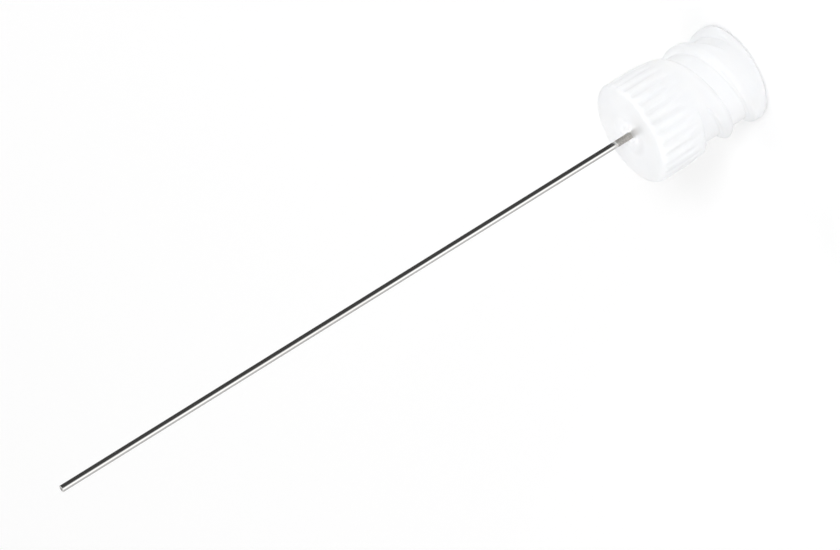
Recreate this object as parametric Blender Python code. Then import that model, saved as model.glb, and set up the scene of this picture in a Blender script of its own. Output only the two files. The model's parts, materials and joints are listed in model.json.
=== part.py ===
# Blunt medical needle with a moulded hub, standing on the hub's flat rear face.
# A fine steel tube is bonded into a milky plastic hub. The hub has a fluted grip in front, a
# double-start lock thread behind it and a conical syringe socket in its rear face.
# Metres, +Z up. Each piece is drawn along its own X axis, from the tube's tip to the socket, and
# that axis then points straight down.

import math

import bmesh
import bpy
from mathutils import Matrix, Vector

# Steel tube
TUBE_OUTER_DIAMETER = 0.00053
TUBE_BORE_DIAMETER = 0.00026
TUBE_FREE_LENGTH = 0.0508
TUBE_EDGE_BREAK = 0.00003
BOND_GAP = 0.00003

# Hub body
HUB_LENGTH = 0.0099
GRIP_DIAMETER = 0.0081
GRIP_STRAIGHT_LENGTH = 0.0026
GRIP_LENGTH = 0.0044
FRONT_EDGE_RADIUS = 0.00045
REAR_EDGE_RADIUS = 0.00045

# Finger flutes, parallel to the axis and open at the front face
FLUTE_COUNT = 28
FLUTE_RADIUS = 0.00036
FLUTE_DEPTH = 0.00012

# Lock thread: right-handed grooves that sink into the body behind the grip and run out again
# before the rear edge
THREAD_CREST_DIAMETER = 0.00778
THREAD_ROOT_DIAMETER = 0.00668
THREAD_STARTS = 2
THREAD_LEAD = 0.005
GROOVE_FLOOR_WIDTH = 0.00132
GROOVE_WALL_HEIGHT = 0.0003
GROOVE_WALL_ANGLE = 20.0
GROOVE_FLARE_ANGLE = 50.0
GROOVE_FRONT_DISTANCE = 0.00487
GROOVE_TURN = 240.0
GROOVE_RUNOUT_TURN = 60.0
GROOVE_RUNOUT_NARROWING = 0.7
GROOVE_RUNOUT_CLEARANCE = 0.0001
GROOVE_START_ANGLE = 0.8

# Conical syringe socket in the rear face, 6 in 100 on the diameter
SOCKET_MOUTH_DIAMETER = 0.0043
SOCKET_TAPER = 0.06
SOCKET_DEPTH = 0.0078
SOCKET_EDGE_BREAK = 0.0001
SOCKET_FLOOR_FUNNEL = 0.0004

# Facets and cutting tools
HUB_SIDES = 84
TUBE_SIDES = 32
FLUTE_SIDES = 16
EDGE_STEPS = 4
GROOVE_STEP_ANGLE = 5.0
SHARP_EDGE_ANGLE = 28.0
WELD_DISTANCE = 0.0000002
OUTWARD_MARGIN = 0.0005

# Sizes that follow from those above
TUBE_RADIUS = TUBE_OUTER_DIAMETER / 2
TUBE_SEAT_RADIUS = TUBE_RADIUS + BOND_GAP
GRIP_RADIUS = GRIP_DIAMETER / 2
CREST_RADIUS = THREAD_CREST_DIAMETER / 2
ROOT_RADIUS = THREAD_ROOT_DIAMETER / 2
SOCKET_FLOOR_X = HUB_LENGTH - SOCKET_DEPTH
TUBE_END_X = SOCKET_FLOOR_X - SOCKET_FLOOR_FUNNEL


def clear_scene():
    for obj in list(bpy.data.objects):
        bpy.data.objects.remove(obj, do_unlink=True)


def material(name, colour, roughness, metallic, transmission=0.0):
    finish = bpy.data.materials.new(name)
    finish.use_nodes = True
    shader = finish.node_tree.nodes["Principled BSDF"]
    shader.inputs["Base Color"].default_value = (*colour, 1.0)
    shader.inputs["Roughness"].default_value = roughness
    shader.inputs["Metallic"].default_value = metallic
    shader.inputs["Transmission Weight"].default_value = transmission
    finish.diffuse_color = (*colour, 1.0)
    return finish


def add_object(name, bm, finish=None):
    # Turns the finished bmesh into a scene object and shades its round faces smooth.
    mesh = bpy.data.meshes.new(name)
    bmesh.ops.recalc_face_normals(bm, faces=bm.faces)
    bm.to_mesh(mesh)
    bm.free()
    obj = bpy.data.objects.new(name, mesh)
    bpy.context.scene.collection.objects.link(obj)
    if finish:
        mesh.materials.append(finish)
        mesh.shade_smooth()
        mesh.set_sharp_from_angle(angle=math.radians(SHARP_EDGE_ANGLE))
    return obj


def around_axis(x, radius, angle):
    # A point at the given distance from the X axis, turned right-handed about +X from +Y.
    return Vector((x, radius * math.cos(angle), radius * math.sin(angle)))


def edge_arc(centre_x, centre_r, radius, start_angle):
    # A quarter round of a turned profile, from the start angle a quarter turn clockwise.
    angles = [start_angle - math.pi / 2 * i / EDGE_STEPS for i in range(EDGE_STEPS + 1)]
    return [(centre_x + radius * math.cos(a), centre_r + radius * math.sin(a)) for a in angles]


def turned(profile, sides):
    # Spins a closed profile of (x, radius) points about the X axis into a closed ring-shaped body.
    bm = bmesh.new()
    ring = [bm.verts.new((x, radius, 0.0)) for x, radius in profile]
    edges = [bm.edges.new((ring[i - 1], ring[i])) for i in range(len(ring))]
    bmesh.ops.spin(bm, geom=ring + edges, cent=(0, 0, 0), axis=(1, 0, 0),
                   angle=2 * math.pi, steps=sides, use_duplicate=False)
    bmesh.ops.remove_doubles(bm, verts=bm.verts, dist=WELD_DISTANCE)
    return bm


def hub_profile():
    # Runs from the tube seat outwards over the front face, along the outside to the rear face,
    # and back through the socket.
    mouth_radius = SOCKET_MOUTH_DIAMETER / 2
    floor_radius = mouth_radius - SOCKET_TAPER * SOCKET_DEPTH / 2
    front_edge = edge_arc(FRONT_EDGE_RADIUS, GRIP_RADIUS - FRONT_EDGE_RADIUS,
                          FRONT_EDGE_RADIUS, math.pi)
    rear_edge = edge_arc(HUB_LENGTH - REAR_EDGE_RADIUS, CREST_RADIUS - REAR_EDGE_RADIUS,
                         REAR_EDGE_RADIUS, math.pi / 2)
    outside = [(GRIP_STRAIGHT_LENGTH, GRIP_RADIUS), (GRIP_LENGTH, CREST_RADIUS)]
    socket = [
        (HUB_LENGTH, mouth_radius + SOCKET_EDGE_BREAK),
        (HUB_LENGTH - SOCKET_EDGE_BREAK, mouth_radius),
        (SOCKET_FLOOR_X, floor_radius),
        (TUBE_END_X, TUBE_SEAT_RADIUS),
    ]
    return [(0.0, TUBE_SEAT_RADIUS)] + front_edge + outside + rear_edge + socket


def flute_cutter():
    # One round bar for each flute, all lying parallel to the axis around the grip.
    bm = bmesh.new()
    distance = GRIP_RADIUS + FLUTE_RADIUS - FLUTE_DEPTH
    length = GRIP_LENGTH + OUTWARD_MARGIN
    lay_along_x = Matrix.Rotation(math.pi / 2, 4, "Y")
    for i in range(FLUTE_COUNT):
        angle = -math.pi / 2 + 2 * math.pi * i / FLUTE_COUNT
        place = Matrix.Translation(around_axis(length / 2 - OUTWARD_MARGIN, distance, angle))
        bmesh.ops.create_cone(bm, cap_ends=True, segments=FLUTE_SIDES, radius1=FLUTE_RADIUS,
                              radius2=FLUTE_RADIUS, depth=length, matrix=place @ lay_along_x)
    return bm


def groove_section(turn, start_angle):
    # The groove's corners in the plane through the axis at this turn, in degrees. The section has
    # its full depth along the whole thread, and rises smoothly and narrows over each run-out
    # until it clears the grip.
    past_end = max(-turn, turn - GROOVE_TURN, 0.0) / GROOVE_RUNOUT_TURN
    clear_of_grip = GRIP_RADIUS + GROOVE_RUNOUT_CLEARANCE - ROOT_RADIUS
    lift = clear_of_grip * past_end ** 2 * (3 - 2 * past_end)
    half_floor = GROOVE_FLOOR_WIDTH / 2 * (1 - GROOVE_RUNOUT_NARROWING * past_end)
    flare_height = GRIP_RADIUS + OUTWARD_MARGIN - ROOT_RADIUS - GROOVE_WALL_HEIGHT
    half_wall = half_floor + GROOVE_WALL_HEIGHT * math.tan(math.radians(GROOVE_WALL_ANGLE))
    half_mouth = half_wall + flare_height * math.tan(math.radians(GROOVE_FLARE_ANGLE))
    wall_top = ROOT_RADIUS + GROOVE_WALL_HEIGHT
    middle = GROOVE_FRONT_DISTANCE + THREAD_LEAD * turn / 360
    corners = [
        (middle - half_floor, ROOT_RADIUS),
        (middle + half_floor, ROOT_RADIUS),
        (middle + half_wall, wall_top),
        (middle + half_mouth, wall_top + flare_height),
        (middle - half_mouth, wall_top + flare_height),
        (middle - half_wall, wall_top),
    ]
    angle = math.radians(start_angle + turn)
    return [around_axis(x, radius + lift, angle) for x, radius in corners]


def groove_cutter():
    # Sweeps the groove section along the helix, once for each start.
    bm = bmesh.new()
    whole_turn = GROOVE_TURN + 2 * GROOVE_RUNOUT_TURN
    steps = math.ceil(whole_turn / GROOVE_STEP_ANGLE)
    for start in range(THREAD_STARTS):
        start_angle = GROOVE_START_ANGLE + 360 * start / THREAD_STARTS
        rings = []
        for i in range(steps + 1):
            turn = whole_turn * i / steps - GROOVE_RUNOUT_TURN
            rings.append([bm.verts.new(point) for point in groove_section(turn, start_angle)])
        for near, far in zip(rings, rings[1:]):
            for k in range(len(near)):
                bm.faces.new((near[k - 1], near[k], far[k], far[k - 1]))
        bm.faces.new(rings[0])
        bm.faces.new(rings[-1])
    return bm


def cut(body, name, bm):
    # Takes the tool's volume out of the body and keeps the tool as a wire guide.
    tool = add_object(name, bm)
    tool.hide_render = True
    tool.display_type = "WIRE"
    step = body.modifiers.new(name, "BOOLEAN")
    step.operation = "DIFFERENCE"
    step.solver = "EXACT"
    step.object = tool
    return tool


def make_hub():
    plastic = material("milky_plastic", (0.90, 0.91, 0.92), 0.35, 0.0, transmission=0.35)
    hub = add_object("hub", turned(hub_profile(), HUB_SIDES), plastic)
    tools = [cut(hub, "flute_cutter", flute_cutter()), cut(hub, "groove_cutter", groove_cutter())]
    return hub, tools


def make_tube():
    # A square-cut tube with the burr taken off its four edges.
    steel = material("polished_steel", (0.62, 0.61, 0.59), 0.18, 1.0)
    bore_radius = TUBE_BORE_DIAMETER / 2
    front_x = -TUBE_FREE_LENGTH
    profile = [
        (front_x, bore_radius + TUBE_EDGE_BREAK),
        (front_x, TUBE_RADIUS - TUBE_EDGE_BREAK),
        (front_x + TUBE_EDGE_BREAK, TUBE_RADIUS),
        (TUBE_END_X - TUBE_EDGE_BREAK, TUBE_RADIUS),
        (TUBE_END_X, TUBE_RADIUS - TUBE_EDGE_BREAK),
        (TUBE_END_X, bore_radius + TUBE_EDGE_BREAK),
        (TUBE_END_X - TUBE_EDGE_BREAK, bore_radius),
        (front_x + TUBE_EDGE_BREAK, bore_radius),
    ]
    return add_object("needle_tube", turned(profile, TUBE_SIDES), steel)


def main():
    clear_scene()
    hub, tools = make_hub()
    tube = make_tube()
    # The rear face goes to the floor, the tip up, and the flutes' +Z side to the front.
    stand = bpy.data.objects.new("stand", None)
    bpy.context.scene.collection.objects.link(stand)
    stand.location = (0.0, 0.0, HUB_LENGTH)
    stand.rotation_euler = (0.0, math.pi / 2, -math.pi / 2)
    for obj in [hub, tube] + tools:
        obj.parent = stand


main()
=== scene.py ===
# A fine steel dispensing needle in a milky plastic hub, standing on its hub on a white table.
import json
import math

import bpy
import numpy as np
from mathutils import Matrix, Vector


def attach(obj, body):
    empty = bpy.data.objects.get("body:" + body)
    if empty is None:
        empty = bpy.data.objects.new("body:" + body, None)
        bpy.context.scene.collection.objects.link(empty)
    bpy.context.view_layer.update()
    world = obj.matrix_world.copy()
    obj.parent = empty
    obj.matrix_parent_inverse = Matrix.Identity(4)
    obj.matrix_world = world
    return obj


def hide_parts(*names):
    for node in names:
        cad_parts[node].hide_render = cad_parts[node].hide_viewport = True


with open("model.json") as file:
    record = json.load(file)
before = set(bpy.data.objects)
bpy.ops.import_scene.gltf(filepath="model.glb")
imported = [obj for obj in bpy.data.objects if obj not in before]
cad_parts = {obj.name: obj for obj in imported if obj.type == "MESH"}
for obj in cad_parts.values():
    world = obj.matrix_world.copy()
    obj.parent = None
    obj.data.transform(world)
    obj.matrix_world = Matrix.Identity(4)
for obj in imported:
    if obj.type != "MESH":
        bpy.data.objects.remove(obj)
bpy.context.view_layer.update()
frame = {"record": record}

# The needle stands on its hub, so its own axis points down from the tube's tip. The record's rear
# mount gives that axis, and the middle of the hub's front face is worked out from there.
needlePlace = {"hubLength": 0.0099, "mountLift": 0.0028, "across": (1.0, 0.0, 0.0)}
rearMount = frame["record"]["mounts"][0]
alongNeedle = np.array(rearMount["axis"], float)
acrossNeedle = np.array(needlePlace["across"])
liftNeedle = np.cross(alongNeedle, acrossNeedle)
faceMiddle = (np.array(rearMount["pos_m"]) - needlePlace["mountLift"] * liftNeedle
              - needlePlace["hubLength"] * alongNeedle)
needleTurn = Matrix((alongNeedle, acrossNeedle, liftNeedle)).transposed().to_euler()
print("stage: frame loaded, the hub's front face is %.1f mm up" % (1000 * faceMiddle[2]))


class Wire:
    # One output socket of a node tree. Operators on wires and numbers add its Math nodes.
    def __init__(self, tree, socket=None):
        self.tree = tree
        self.socket = socket

    def node(self, kind, settings=(), values=(), output=0):
        # Adds any other node: its settings are made first, then each socket gets a value or link.
        made = self.tree.nodes.new(kind)
        for name, value in dict(settings).items():
            setattr(made, name, value)
        for name, value in dict(values).items():
            if isinstance(value, Wire):
                self.tree.links.new(value.socket, made.inputs[name])
            else:
                made.inputs[name].default_value = value
        return Wire(self.tree, made.outputs[output])

    def maths(self, operation, *values):
        return self.node("ShaderNodeMath", {"operation": operation}, enumerate(values))

    def __add__(self, other):
        return self.maths("ADD", self, other)

    def __sub__(self, other):
        return self.maths("SUBTRACT", self, other)

    def __rsub__(self, other):
        return self.maths("SUBTRACT", other, self)

    def __mul__(self, other):
        return self.maths("MULTIPLY", self, other)

    __radd__ = __add__
    __rmul__ = __mul__

    def rise(self, start, end, low=0.0, high=1.0):
        # Eases from low to high while the value goes from start to end.
        return self.node("ShaderNodeMapRange", {"interpolation_type": "SMOOTHSTEP"},
                         {"Value": self, "From Min": start, "From Max": end,
                          "To Min": low, "To Max": high})

    def between(self, first, second):
        # Mixes two colours by this value: 0 gives the first, 1 the second.
        colours = [(*c, 1.0) if isinstance(c, tuple) else c for c in (first, second)]
        return self.node("ShaderNodeMix", {"data_type": "RGBA"},
                         {0: self, 6: colours[0], 7: colours[1]}, output=2)


def newFinish(name, constants):
    # A Principled material with its constant sockets set. Gives the shader and coordinates that
    # start at the middle of the hub's front face and run along the needle.
    material = bpy.data.materials.new(name)
    material.use_nodes = True
    shader = material.node_tree.nodes["Principled BSDF"]
    for socket, value in constants.items():
        shader.inputs[socket].default_value = value
    start = Wire(material.node_tree)
    place = start.node("ShaderNodeMapping", {"vector_type": "TEXTURE"}, {
        "Vector": start.node("ShaderNodeTexCoord", output="Object"),
        "Location": faceMiddle, "Rotation": needleTurn})
    return material, shader, place


def feed(shader, socket, wire):
    wire.tree.links.new(wire.socket, shader.inputs[socket])


def newPiece(name, points, faces, material, node, slot, values=()):
    # Puts a worked-out surface into the scene in place of its CAD node, with any named value for
    # each of its points.
    mesh = bpy.data.meshes.new(name)
    mesh.from_pydata(points.reshape(-1, 3).tolist(), [], faces.tolist())
    mesh.shade_smooth()
    mesh.materials.append(material)
    for label, numbers in dict(values).items():
        mesh.attributes.new(label, "FLOAT", "POINT").data.foreach_set("value", numbers.ravel())
    piece = bpy.data.objects.new(name, mesh)
    bpy.context.scene.collection.objects.link(piece)
    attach(piece, "root")
    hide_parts(node)
    print("stage: %s made, %d faces" % (name, len(faces)))


def ringFaces(rows, columns):
    # Quads of a grid that closes on itself both ways, facing outwards for a profile that runs
    # rearwards on the outside.
    row, column = np.meshgrid(np.arange(rows), np.arange(columns), indexing="ij")
    nextRow, nextColumn = (row + 1) % rows, (column + 1) % columns
    corners = [row * columns + column, row * columns + nextColumn,
               nextRow * columns + nextColumn, nextRow * columns + column]
    return np.stack(corners, axis=-1).reshape(-1, 4)


def aroundAxis(x, radius, angle):
    # Points at the given distances along and from the needle's axis, turned right-handed about
    # it from the level sideways direction.
    return (faceMiddle + x[..., None] * alongNeedle
            + (radius * np.cos(angle))[..., None] * acrossNeedle
            + (radius * np.sin(angle))[..., None] * liftNeedle)


def quarterRound(centreX, centreR, radius, start, steps):
    # A quarter circle of the profile, clockwise from the start angle in degrees.
    angle = np.radians(np.linspace(start, start - 90, steps))
    return np.stack([centreX + radius * np.cos(angle), centreR + radius * np.sin(angle)], -1)


def straight(start, end, steps):
    # Points of a straight profile line, without its last one.
    return np.linspace(start, end, steps, endpoint=False)


def softMin(first, second, softness):
    # The smaller of two distances, with the crossing rounded over the given softness.
    share = np.clip(0.5 + 0.5 * (second - first) / softness, 0, 1)
    return second * (1 - share) + first * share - softness * share * (1 - share)


# The hub: a fluted grip, the lock thread behind it and the syringe socket, all in metres and
# measured from the front face, with angles in degrees.
hubShape = {
    "gripRadius": 0.00405, "gripStraight": 0.0026, "gripLength": 0.0044,
    "crestRadius": 0.00389, "frontEdge": 0.00045, "rearEdge": 0.00045,
    "flutes": 28, "fluteRadius": 0.00036, "fluteDepth": 0.00012, "fluteSoftness": 0.00003,
    "rootRadius": 0.00334, "starts": 2, "lead": 0.005, "floorWidth": 0.00132,
    "wallHeight": 0.0003, "wallAngle": 20, "flareAngle": 50, "frontDistance": 0.00487,
    "turn": 240, "runout": 60, "narrowing": 0.7, "startAngle": 0.8, "grooveSoftness": 0.00016,
    "runoutClear": 0.0001,  # how far past the grip's surface a groove's floor lifts at its ends
    "mouthRadius": 0.00215, "socketTaper": 0.06, "socketDepth": 0.0078, "mouthEdge": 0.0001,
    "funnel": 0.0004, "seatRadius": 0.000295, "seatEdge": 0.00004,
    # How finely each stretch of the profile is divided, and the turn about the axis.
    "rowStep": 0.00005, "edgeSteps": 12, "rearFaceSteps": 5, "mouthSteps": 5, "socketSteps": 14,
    "funnelSteps": 6, "seatSteps": 4, "frontFaceSteps": 8, "columnsPerFlute": 12,
    # How far a straight stretch keeps from the stretch beside it.
    "rearFaceInset": 0.0001, "socketInset": 0.0003, "socketFloorInset": 0.0001,
    "funnelInset": 0.00006, "seatInset": 0.00005, "frontFaceInset": 0.00015,
}


def fluteRadiusAt(angle):
    # Distance from the axis to the nearest flute's round floor: where a line from the axis meets
    # the flute's circle. Beyond the grip's surface where it misses the circle.
    pitch = 2 * np.pi / hubShape["flutes"]
    offset = (angle + np.pi / 2 + pitch / 2) % pitch - pitch / 2
    centre = hubShape["gripRadius"] + hubShape["fluteRadius"] - hubShape["fluteDepth"]
    inside = hubShape["fluteRadius"] ** 2 - (centre * np.sin(offset)) ** 2
    floor = centre * np.cos(offset) - np.sqrt(np.maximum(inside, 0))
    return np.where(inside > 0, floor, centre)


def grooveRadiusAt(x, angle, start):
    # Distance from the axis to one groove's floor or wall. The groove follows a helix, with a
    # steep wall that flares at the crest. Over its run-outs the floor lifts out of the hub on an
    # eased curve, and narrows.
    begin = hubShape["startAngle"] + 360 * start / hubShape["starts"]
    turn = (np.degrees(angle) - begin + hubShape["runout"]) % 360 - hubShape["runout"]
    pastEnd = np.clip(np.maximum(-turn, turn - hubShape["turn"]) / hubShape["runout"], 0, 1)
    clear = hubShape["gripRadius"] + hubShape["runoutClear"] - hubShape["rootRadius"]
    lift = clear * pastEnd ** 2 * (3 - 2 * pastEnd)
    halfFloor = hubShape["floorWidth"] / 2 * (1 - hubShape["narrowing"] * pastEnd)
    middle = hubShape["frontDistance"] + hubShape["lead"] * turn / 360
    outside = np.abs(x - middle) - halfFloor
    wallSlope = 1 / math.tan(math.radians(hubShape["wallAngle"]))
    flareSlope = 1 / math.tan(math.radians(hubShape["flareAngle"]))
    wallRun = hubShape["wallHeight"] / wallSlope
    wall = outside * wallSlope
    flare = hubShape["wallHeight"] + (outside - wallRun) * flareSlope
    rise = -softMin(-np.minimum(wall, flare), np.zeros_like(wall), hubShape["grooveSoftness"] / 2)
    return hubShape["rootRadius"] + lift + rise


def hubSurface():
    # A closed profile turned about the axis: out over the front face, rearwards along the
    # outside, and back through the socket. On the outside, each point's distance from the axis
    # is the least of the plain body, the flutes and the two grooves.
    h = hubShape
    hubLength = needlePlace["hubLength"]
    faceEdge = h["gripRadius"] - h["frontEdge"]
    rearEdgeX, rearFlat = hubLength - h["rearEdge"], h["crestRadius"] - h["rearEdge"]
    outsideX = np.arange(h["frontEdge"], rearEdgeX, h["rowStep"])[1:]
    plain = np.interp(outsideX, [h["gripStraight"], h["gripLength"]],
                      [h["gripRadius"], h["crestRadius"]])
    outside = [quarterRound(h["frontEdge"], faceEdge, h["frontEdge"], 180, h["edgeSteps"]),
               np.stack([outsideX, plain], -1),
               quarterRound(rearEdgeX, rearFlat, h["rearEdge"], 90, h["edgeSteps"])]
    floorRadius = h["mouthRadius"] - h["socketTaper"] / 2 * h["socketDepth"]
    floorX = hubLength - h["socketDepth"]
    funnelX = floorX - h["funnel"]
    # The mouth's round runs inner end first, which leaves a small fold there, out of sight.
    inside = [straight((hubLength, rearFlat - h["rearFaceInset"]),
                       (hubLength, h["mouthRadius"] + 2 * h["mouthEdge"]), h["rearFaceSteps"]),
              quarterRound(hubLength - h["mouthEdge"], h["mouthRadius"] + h["mouthEdge"],
                           h["mouthEdge"], 0, h["mouthSteps"])[::-1],
              straight((hubLength - h["socketInset"],
                        h["mouthRadius"] - h["socketInset"] * h["socketTaper"] / 2),
                       (floorX + h["socketFloorInset"], floorRadius), h["socketSteps"]),
              straight((floorX, floorRadius - h["funnelInset"]),
                       (funnelX, h["seatRadius"]), h["funnelSteps"]),
              straight((funnelX - h["seatInset"], h["seatRadius"]),
                       (2 * h["seatEdge"], h["seatRadius"]), h["seatSteps"]),
              np.array([[h["seatEdge"], h["seatRadius"]],
                        [0.0, h["seatRadius"] + h["seatEdge"]]]),
              straight((0.0, h["seatRadius"] + h["frontFaceInset"]), (0.0, faceEdge),
                       h["frontFaceSteps"])]
    profile = np.concatenate(outside + inside)
    angle = np.linspace(0, 2 * np.pi, h["flutes"] * h["columnsPerFlute"], endpoint=False)
    x, angle = np.meshgrid(profile[:, 0], angle, indexing="ij")
    radius = np.repeat(profile[:, 1:], x.shape[1], axis=1)
    outer = slice(0, sum(len(stretch) for stretch in outside))
    cut = softMin(radius[outer], fluteRadiusAt(angle[outer]), h["fluteSoftness"])
    # Each point's depth share in a flute, which the plastic uses for a painted shade, and below,
    # its depth under the crest in a groove, which it uses for a painted glow.
    fluted = np.zeros_like(radius)
    fluted[outer] = np.clip((radius[outer] - cut) / h["fluteDepth"], 0, 1)
    sunk = np.zeros_like(radius)
    sunk[outer] = cut
    for start in range(h["starts"]):
        cut = softMin(cut, grooveRadiusAt(x[outer], angle[outer], start), h["grooveSoftness"])
    radius[outer] = cut
    sunk[outer] = (sunk[outer] - cut) / (h["crestRadius"] - h["rootRadius"])
    return aroundAxis(x, radius, angle), ringFaces(*x.shape), {"fluted": fluted, "sunk": sunk}


# Milky moulding plastic: light passes through it, and it shows the steel a little way in. Its
# soft glow is painted light, given as emission. A range is the pair of values between which a
# noise or a share takes effect.
plasticLook = {
    # The third colour is a painted shade laid on the flute floors.
    "clear": (0.96, 0.964, 0.97), "cloudy": (0.93, 0.936, 0.947), "paintedFluteShade": (0.90, 0.906, 0.916),
    "cloudScale": 260.0, "cloudDetail": 3.0, "cloudRoughness": 0.5,
    "cloudRange": (0.35, 0.65), "dullRange": (0.3, 0.7), "paintedFluteShadeRange": (0.4, 1.0),
    "grainScale": 5200.0, "grainDetail": 2.0, "grainDepth": 0.000004, "grainStrength": 0.5,
    "smooth": 0.3, "dull": 0.38, "ior": 1.2, "transmission": 0.35, "subsurface": 0.4,
    "scatterLength": 0.0002, "scatterShares": (1.0, 0.95, 0.9),
    # The glow colours are painted light, emission that stands in for light scattered through the
    # plastic: one inside the wall away from the tube, a fainter one in the grooves.
    "none": (0.0, 0.0, 0.0), "glow": (0.147, 0.148, 0.15), "glowStart": 0.0003,
    "glowFull": 0.0018, "paintedGrooveGlow": (0.03, 0.03, 0.03),
    "thin": 0.2, "thickAt": 0.0019, "thinDepth": 0.0016, "thinEnd": 0.00176,
}


def plasticFinish():
    look = plasticLook
    material, shader, place = newFinish("milkyPlastic", {
        "IOR": look["ior"], "Transmission Weight": look["transmission"],
        "Subsurface Weight": look["subsurface"], "Subsurface Scale": look["scatterLength"],
        "Subsurface Radius": look["scatterShares"], "Emission Strength": 1.0})
    cloud = place.node("ShaderNodeTexNoise", values={
        "Vector": place, "Scale": look["cloudScale"], "Detail": look["cloudDetail"],
        "Roughness": look["cloudRoughness"]})
    grain = place.node("ShaderNodeTexNoise", values={
        "Vector": place, "Scale": look["grainScale"], "Detail": look["grainDetail"]})
    milky = cloud.rise(*look["cloudRange"]).between(look["clear"], look["cloudy"])
    # Painted shade: the flute floors are darkened in the base colour, more the deeper they lie.
    paintedFluteShade = place.node("ShaderNodeAttribute", {"attribute_name": "fluted"}, output="Fac")
    feed(shader, "Base Color", paintedFluteShade.rise(*look["paintedFluteShadeRange"]).between(milky, look["paintedFluteShade"]))
    feed(shader, "Roughness", cloud.rise(*look["dullRange"], look["smooth"], look["dull"]))
    feed(shader, "Normal", place.node("ShaderNodeBump", values={
        "Height": grain, "Distance": look["grainDepth"], "Strength": look["grainStrength"]}))

    # It is thin to look through near the axis, in front of where the tube ends.
    fromAxis = place.node("ShaderNodeVectorMath", {"operation": "LENGTH"}, {
        0: place.node("ShaderNodeMapping", values={"Vector": place, "Scale": (0.0, 1.0, 1.0)})},
        output=1)
    along = place.node("ShaderNodeSeparateXYZ", values={"Vector": place}, output="X")
    solid = fromAxis.rise(0.0, look["thickAt"], look["thin"], 1.0)
    behind = along.rise(look["thinDepth"], look["thinEnd"])
    feed(shader, "Alpha", solid.maths("MAXIMUM", solid, behind))

    # Painted light: the wall's inner side is given emission away from the tube, and the outer
    # side a fainter emission in the grooves, standing in for light scattered through the plastic.
    inside = place.node("ShaderNodeNewGeometry", output="Backfacing")
    sunk = place.node("ShaderNodeAttribute", {"attribute_name": "sunk"}, output="Fac")
    awayFromTube = fromAxis.rise(look["glowStart"], look["glowFull"])
    paintedInnerLight = awayFromTube.between(look["none"], look["glow"])
    paintedGrooveLight = sunk.rise(0.0, 1.0).between(look["none"], look["paintedGrooveGlow"])
    feed(shader, "Emission Color", inside.between(paintedGrooveLight, paintedInnerLight))
    return material


hubPoints, hubFaces, hubDepths = hubSurface()
newPiece("mouldedHub", hubPoints, hubFaces, plasticFinish(), "hub", "milky_plastic", hubDepths)

# The tube: drawn steel, cut square and hollow, ground matt where it is bonded into the hub.
tubeShape = {
    "freeLength": 0.0508, "bondedLength": 0.0017,
    "outer": 0.000265, "bore": 0.00013, "edge": 0.00003, "sides": 72, "edgeSteps": 5,
    "lengthSteps": 60, "startEdges": 3, "endEdges": 2,  # edge widths kept clear by a straight run
}


def tubeSurface():
    # A closed profile turned about the axis: rearwards along the outside, then back through
    # the bore, with a quarter round at each of its four edges.
    t = tubeShape
    front, rear = -t["freeLength"], t["bondedLength"]
    edge, steps = t["edge"], t["edgeSteps"]
    runStart, runEnd = t["startEdges"] * edge, t["endEdges"] * edge
    profile = np.concatenate([
        quarterRound(front + edge, t["outer"] - edge, edge, 180, steps),
        straight((front + runStart, t["outer"]), (rear - runEnd, t["outer"]), t["lengthSteps"]),
        quarterRound(rear - edge, t["outer"] - edge, edge, 90, steps),
        quarterRound(rear - edge, t["bore"] + edge, edge, 0, steps),
        straight((rear - runStart, t["bore"]), (front + runEnd, t["bore"]), t["lengthSteps"]),
        quarterRound(front + edge, t["bore"] + edge, edge, 270, steps)])
    angle = np.linspace(0, 2 * np.pi, t["sides"], endpoint=False)
    x, angle = np.meshgrid(profile[:, 0], angle, indexing="ij")
    radius = np.repeat(profile[:, 1:], x.shape[1], axis=1)
    return aroundAxis(x, radius, angle), ringFaces(*x.shape)


# Drawn steel with fine lines along it, and a short ground band in front of the hub with grit.
steelLook = {
    "polished": (0.66, 0.655, 0.64), "drawn": (0.60, 0.59, 0.575),
    "ground": (0.56, 0.54, 0.51), "groundDark": (0.38, 0.365, 0.345),
    "polishedRoughness": 0.10, "drawnRoughness": 0.2, "groundRoughness": 0.55,
    "bandLength": 0.00125, "bandEdge": 0.00006,
    "drawScale": 2600.0, "drawStretch": 0.03, "drawDetail": 3.0, "drawRange": (0.35, 0.7),
    "gritScale": 8000.0, "gritDetail": 4.0, "gritRoughness": 0.65, "gritRange": (0.35, 0.65),
    "gritDepth": 0.00001, "gritStrength": 0.8,
}


def steelFinish():
    look = steelLook
    material, shader, place = newFinish("drawnSteel", {"Metallic": 1.0})
    along = place.node("ShaderNodeSeparateXYZ", values={"Vector": place}, output="X")
    bandStart, bandEdge = -look["bandLength"], look["bandEdge"]
    band = along.rise(bandStart - bandEdge, bandStart + bandEdge)
    lines = place.node("ShaderNodeTexNoise", values={
        "Vector": place.node("ShaderNodeMapping", values={
            "Vector": place, "Scale": (look["drawStretch"], 1.0, 1.0)}),
        "Scale": look["drawScale"], "Detail": look["drawDetail"]})
    grit = place.node("ShaderNodeTexNoise", values={
        "Vector": place, "Scale": look["gritScale"], "Detail": look["gritDetail"],
        "Roughness": look["gritRoughness"]})
    bright = lines.rise(*look["drawRange"]).between(look["polished"], look["drawn"])
    matt = grit.rise(*look["gritRange"]).between(look["ground"], look["groundDark"])
    feed(shader, "Base Color", band.between(bright, matt))
    rough = lines.rise(*look["drawRange"], look["polishedRoughness"], look["drawnRoughness"])
    feed(shader, "Roughness", rough * (1 - band) + look["groundRoughness"] * band)
    feed(shader, "Normal", place.node("ShaderNodeBump", values={
        "Height": grit * band, "Distance": look["gritDepth"], "Strength": look["gritStrength"]}))
    return material


newPiece("steelTube", *tubeSurface(), steelFinish(), "needle_tube", "polished_steel")

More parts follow.
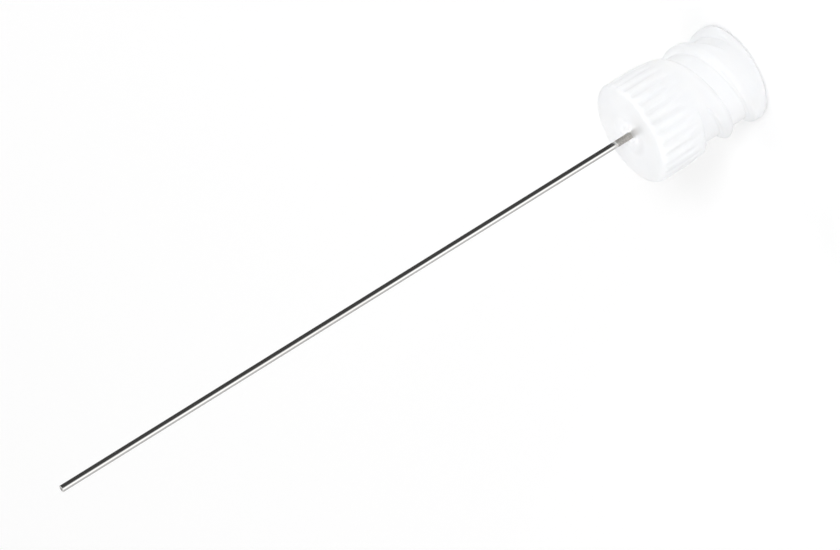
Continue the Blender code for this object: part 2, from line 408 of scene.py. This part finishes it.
# The camera stands where the photograph's did, a little above the table, and is rolled so that
# the needle crosses the picture as it does there. Angles in degrees.
cameraPlace = {
    "azimuth": -35.6457, "elevation": 21.2025, "roll": -121.8914,
    "aim": (-0.0004582, 0.0002843, 0.0295315), "distance": 0.43327, "lens": 259.93,
    "clipStart": 0.01,
}


def directionTo(azimuth, elevation):
    a, e = math.radians(azimuth), math.radians(elevation)
    return Vector((math.sin(a) * math.cos(e), -math.cos(a) * math.cos(e), math.sin(e)))


def placeCamera():
    back = directionTo(cameraPlace["azimuth"], cameraPlace["elevation"])
    camera = bpy.data.objects.new("camera", bpy.data.cameras.new("camera"))
    bpy.context.scene.collection.objects.link(camera)
    roll = Matrix.Rotation(math.radians(cameraPlace["roll"]), 3, "Z")
    camera.rotation_euler = (back.to_track_quat("Z", "Y").to_matrix() @ roll).to_euler()
    camera.location = Vector(cameraPlace["aim"]) + back * cameraPlace["distance"]
    camera.data.lens = cameraPlace["lens"]
    camera.data.clip_start = cameraPlace["clipStart"]
    bpy.context.scene.camera = camera


# Soft light: a large lamp overhead, one on each side, a small one beside the camera that throws
# the hub's faint shadow, and a pale room. Angles in degrees.
lampLook = {
    "top": {"azimuth": 0.0, "elevation": 85.0, "distance": 2.0, "size": 1.6, "power": 12.0},
    "left": {"azimuth": -105.0, "elevation": 25.0, "distance": 2.0, "size": 1.0, "power": 5.8},
    "right": {"azimuth": 50.0, "elevation": 30.0, "distance": 2.0, "size": 0.8, "power": 3.2},
    "near": {"azimuth": -26.0, "elevation": 28.0, "distance": 2.0, "size": 0.36, "power": 11.0},
}
# What gloss mirrors is the room alone: pale, with a bright window, a dark wall and a lighter
# ceiling. The wall and the window lie in a direction, and their edge and full are cosines of the
# angle from it. The ceiling's are heights on the unit sphere.
roomLook = {
    "ambient": 0.49, "wall": (0.57, -0.71, -0.41), "wallEdge": 0.05, "wallFull": 0.65,
    "wallShade": 0.1, "window": (-0.885, -0.294, -0.362), "windowEdge": 0.83,
    "windowFull": 0.99, "roomShade": 0.74, "windowShine": 1.7,
    "ceilingEdge": -0.1, "ceilingFull": 0.3, "ceilingShine": 0.3,
    "tableWhite": 0.97, "tableRoughness": 0.9, "tableHalf": 0.8, "tableGap": 0.00002,
    "tableGlow": 0.12, "glowStrength": 1.6,  # the camera sees this share of it as a plain glow
}


def placeLamps():
    for name, look in lampLook.items():
        lamp = bpy.data.objects.new(name + "Lamp", bpy.data.lights.new(name + "Lamp", "AREA"))
        bpy.context.scene.collection.objects.link(lamp)
        toLamp = directionTo(look["azimuth"], look["elevation"])
        lamp.location = toLamp * look["distance"]
        lamp.rotation_euler = toLamp.to_track_quat("Z", "Y").to_euler()
        lamp.data.size = look["size"]
        lamp.data.energy = look["power"]
        lamp.visible_glossy = False
        lamp.visible_camera = False


def makeRoom():
    world = bpy.data.worlds.new("paleRoom")
    world.use_nodes = True
    world.cycles.sampling_method = "NONE"
    bpy.context.scene.world = world
    background = world.node_tree.nodes["Background"]
    start = Wire(world.node_tree)
    direction = start.node("ShaderNodeTexCoord", output="Generated")
    toWall, toWindow = [start.node("ShaderNodeVectorMath", {"operation": "DOT_PRODUCT"}, {
        0: direction, 1: Vector(roomLook[name]).normalized()}, output=1)
        for name in ("wall", "window")]
    height = start.node("ShaderNodeSeparateXYZ", values={"Vector": direction}, output="Z")
    shade = (toWall.rise(roomLook["wallEdge"], roomLook["wallFull"], 1.0, roomLook["wallShade"])
             * toWindow.rise(roomLook["windowEdge"], roomLook["windowFull"],
                             roomLook["roomShade"], roomLook["windowShine"])
             + height.rise(roomLook["ceilingEdge"], roomLook["ceilingFull"],
                           0.0, roomLook["ceilingShine"]))
    seen = {name: start.node("ShaderNodeLightPath", output="Is %s Ray" % name)
            for name in ("Camera", "Glossy", "Transmission")}
    ambient = roomLook["ambient"]
    strength = (ambient + (seen["Camera"] + seen["Transmission"]) * (1 - ambient)
                + seen["Glossy"] * (shade - ambient))
    feed(background, "Strength", strength)
    background.inputs["Color"].default_value = (1, 1, 1, 1)


def makeTable():
    half, height = roomLook["tableHalf"], -roomLook["tableGap"]
    corners = [(x * half, y * half, height) for x, y in ((-1, -1), (1, -1), (1, 1), (-1, 1))]
    mesh = bpy.data.meshes.new("table")
    mesh.from_pydata(corners, [], [(0, 1, 2, 3)])
    table = bpy.data.objects.new("table", mesh)
    bpy.context.scene.collection.objects.link(table)
    white = roomLook["tableWhite"]
    material, shader, place = newFinish("whiteTable", {
        "Base Color": (white, white, white, 1), "Roughness": roomLook["tableRoughness"],
        "Specular IOR Level": 0.0})
    tree = material.node_tree
    isCamera = place.node("ShaderNodeLightPath", output="Is Camera Ray")
    glow = place.node("ShaderNodeEmission", values={"Strength": roomLook["glowStrength"]})
    mixed = place.node("ShaderNodeMixShader", values={
        0: isCamera * roomLook["tableGlow"], 1: Wire(tree, shader.outputs[0]), 2: glow})
    tree.links.new(mixed.socket, tree.nodes["Material Output"].inputs["Surface"])
    mesh.materials.append(material)
    table.visible_glossy = False


placeCamera()
placeLamps()
makeRoom()
makeTable()
bpy.context.scene.view_settings.view_transform = "Standard"
print("stage: camera, lamps, room and table placed")
